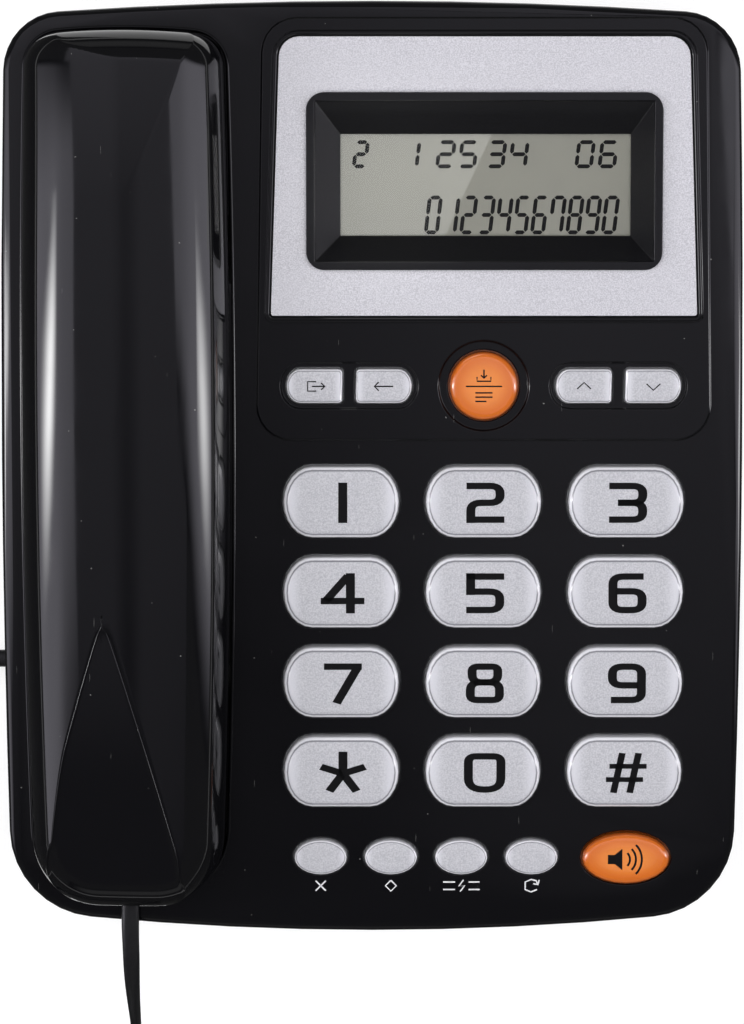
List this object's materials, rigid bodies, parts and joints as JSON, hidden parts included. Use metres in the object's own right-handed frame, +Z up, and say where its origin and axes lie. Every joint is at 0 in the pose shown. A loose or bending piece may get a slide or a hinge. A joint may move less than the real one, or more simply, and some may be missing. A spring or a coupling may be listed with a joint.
{
  "type": "big button corded telephone",
  "caption": "Corded desk telephone with a wedge base, large number keys, a tilted display and a handset in a side cradle on a curly cord.",
  "frame": {"origin": "on the table under the middle of the base, without its cord", "axes": "+X to the right, +Y to the back, +Z up"},
  "size_m": [0.2013, 0.3318, 0.0774],
  "materials": {
    "black_abs": "glossy black moulded ABS",
    "silver_panel": "silver metallic paint with a fine sparkle",
    "clear_key": "clear cap over a silver grey body, printed black",
    "orange_key": "translucent orange plastic",
    "clear_acrylic": "polished clear acrylic",
    "lcd_glass": "grey green liquid crystal display",
    "rubber": "matt rubber",
    "circuit_board": "green lacquered board",
    "steel": "plain zinc plated steel",
    "dark_plastic": "dark grey moulded plastic",
    "clear_plug": "clear moulded plug",
    "cell_sleeve": "plain printed sleeve",
    "cord_pvc": "black flexible PVC"
  },
  "bodies": {
    "base": {"base_upper_shell": "black_abs", "base_lower_shell": "black_abs", "display_bezel": "black_abs", "display_panel": "silver_panel", "display_lens": "clear_acrylic", "lcd_panel": "lcd_glass", "rubber_feet": "rubber", "keypad_mat": "rubber", "display_board": "circuit_board", "key_board": "circuit_board", "display_ribbon": "circuit_board", "base_screws": "steel", "board_screws": "steel", "battery_contacts": "steel", "loudspeaker": "steel", "hook_switch": "dark_plastic", "line_jack": "dark_plastic", "handset_jack": "dark_plastic", "base_plug": "clear_plug", "batteries": "cell_sleeve", "handset_cord_tail": "cord_pvc", "handset_cord_curl": "cord_pvc", "base_cord_tail": "cord_pvc"},
    "handset": {"handset_upper_shell": "black_abs", "handset_lower_shell": "black_abs", "earpiece_capsule": "dark_plastic", "microphone_capsule": "dark_plastic", "handset_weight": "steel", "handset_screws": "steel", "handset_socket": "dark_plastic", "handset_plug": "clear_plug"},
    "hook": {"hook_plunger": "black_abs"},
    "ringer_slider": {"ringer_switch": "black_abs"},
    "battery_cover": {"battery_door": "black_abs"},
    "key_1": {"key_1": "clear_key"},
    "key_2": {"key_2": "clear_key"},
    "key_3": {"key_3": "clear_key"},
    "key_4": {"key_4": "clear_key"},
    "key_5": {"key_5": "clear_key"},
    "key_6": {"key_6": "clear_key"},
    "key_7": {"key_7": "clear_key"},
    "key_8": {"key_8": "clear_key"},
    "key_9": {"key_9": "clear_key"},
    "key_star": {"key_star": "clear_key"},
    "key_0": {"key_0": "clear_key"},
    "key_hash": {"key_hash": "clear_key"},
    "exit_key": {"exit_key": "clear_key"},
    "back_key": {"back_key": "clear_key"},
    "up_key": {"up_key": "clear_key"},
    "down_key": {"down_key": "clear_key"},
    "store_key": {"store_key": "clear_key"},
    "delete_key": {"delete_key": "clear_key"},
    "flash_key": {"flash_key": "clear_key"},
    "redial_key": {"redial_key": "clear_key"},
    "call_key": {"call_key": "orange_key"},
    "speaker_key": {"speaker_key": "orange_key"}
  },
  "joints": [
    {"name": "handset_lift", "type": "slide", "parent": "base", "child": "handset", "axis": [0, -0.1097, 0.994], "range_m": [0, 0.08]},
    {"name": "hook_rise", "type": "slide", "parent": "base", "child": "hook", "axis": [0, -0.1097, 0.994], "range_m": [0, 0.004]},
    {"name": "ringer_slide", "type": "slide", "parent": "base", "child": "ringer_slider", "axis": [0, 1, 0], "range_m": [0, 0.006]},
    {"name": "battery_door_slide", "type": "slide", "parent": "base", "child": "battery_cover", "axis": [-1, 0, 0], "range_m": [0, 0.0055]},
    {"name": "key_1_press", "type": "slide", "parent": "base", "child": "key_1", "axis": [0, 0.1097, -0.994], "range_m": [0, 0.0015], "stiffness_N_per_m": 700},
    {"name": "key_2_press", "type": "slide", "parent": "base", "child": "key_2", "axis": [0, 0.1097, -0.994], "range_m": [0, 0.0015], "stiffness_N_per_m": 700},
    {"name": "key_3_press", "type": "slide", "parent": "base", "child": "key_3", "axis": [0, 0.1097, -0.994], "range_m": [0, 0.0015], "stiffness_N_per_m": 700},
    {"name": "key_4_press", "type": "slide", "parent": "base", "child": "key_4", "axis": [0, 0.1097, -0.994], "range_m": [0, 0.0015], "stiffness_N_per_m": 700},
    {"name": "key_5_press", "type": "slide", "parent": "base", "child": "key_5", "axis": [0, 0.1097, -0.994], "range_m": [0, 0.0015], "stiffness_N_per_m": 700},
    {"name": "key_6_press", "type": "slide", "parent": "base", "child": "key_6", "axis": [0, 0.1097, -0.994], "range_m": [0, 0.0015], "stiffness_N_per_m": 700},
    {"name": "key_7_press", "type": "slide", "parent": "base", "child": "key_7", "axis": [0, 0.1097, -0.994], "range_m": [0, 0.0015], "stiffness_N_per_m": 700},
    {"name": "key_8_press", "type": "slide", "parent": "base", "child": "key_8", "axis": [0, 0.1097, -0.994], "range_m": [0, 0.0015], "stiffness_N_per_m": 700},
    {"name": "key_9_press", "type": "slide", "parent": "base", "child": "key_9", "axis": [0, 0.1097, -0.994], "range_m": [0, 0.0015], "stiffness_N_per_m": 700},
    {"name": "key_star_press", "type": "slide", "parent": "base", "child": "key_star", "axis": [0, 0.1097, -0.994], "range_m": [0, 0.0015], "stiffness_N_per_m": 700},
    {"name": "key_0_press", "type": "slide", "parent": "base", "child": "key_0", "axis": [0, 0.1097, -0.994], "range_m": [0, 0.0015], "stiffness_N_per_m": 700},
    {"name": "key_hash_press", "type": "slide", "parent": "base", "child": "key_hash", "axis": [0, 0.1097, -0.994], "range_m": [0, 0.0015], "stiffness_N_per_m": 700},
    {"name": "exit_key_press", "type": "slide", "parent": "base", "child": "exit_key", "axis": [0, 0.1097, -0.994], "range_m": [0, 0.0015], "stiffness_N_per_m": 700},
    {"name": "back_key_press", "type": "slide", "parent": "base", "child": "back_key", "axis": [0, 0.1097, -0.994], "range_m": [0, 0.0015], "stiffness_N_per_m": 700},
    {"name": "up_key_press", "type": "slide", "parent": "base", "child": "up_key", "axis": [0, 0.1097, -0.994], "range_m": [0, 0.0015], "stiffness_N_per_m": 700},
    {"name": "down_key_press", "type": "slide", "parent": "base", "child": "down_key", "axis": [0, 0.1097, -0.994], "range_m": [0, 0.0015], "stiffness_N_per_m": 700},
    {"name": "store_key_press", "type": "slide", "parent": "base", "child": "store_key", "axis": [0, 0.1097, -0.994], "range_m": [0, 0.0015], "stiffness_N_per_m": 700},
    {"name": "delete_key_press", "type": "slide", "parent": "base", "child": "delete_key", "axis": [0, 0.1097, -0.994], "range_m": [0, 0.0015], "stiffness_N_per_m": 700},
    {"name": "flash_key_press", "type": "slide", "parent": "base", "child": "flash_key", "axis": [0, 0.1097, -0.994], "range_m": [0, 0.0015], "stiffness_N_per_m": 700},
    {"name": "redial_key_press", "type": "slide", "parent": "base", "child": "redial_key", "axis": [0, 0.1097, -0.994], "range_m": [0, 0.0015], "stiffness_N_per_m": 700},
    {"name": "call_key_press", "type": "slide", "parent": "base", "child": "call_key", "axis": [0, 0.1097, -0.994], "range_m": [0, 0.0015], "stiffness_N_per_m": 700},
    {"name": "speaker_key_press", "type": "slide", "parent": "base", "child": "speaker_key", "axis": [0, 0.1097, -0.994], "range_m": [0, 0.0015], "stiffness_N_per_m": 700}
  ],
  "couplings": [
    {"joint": "hook_rise", "follows": "handset_lift", "ratio": 0.05}
  ]
}
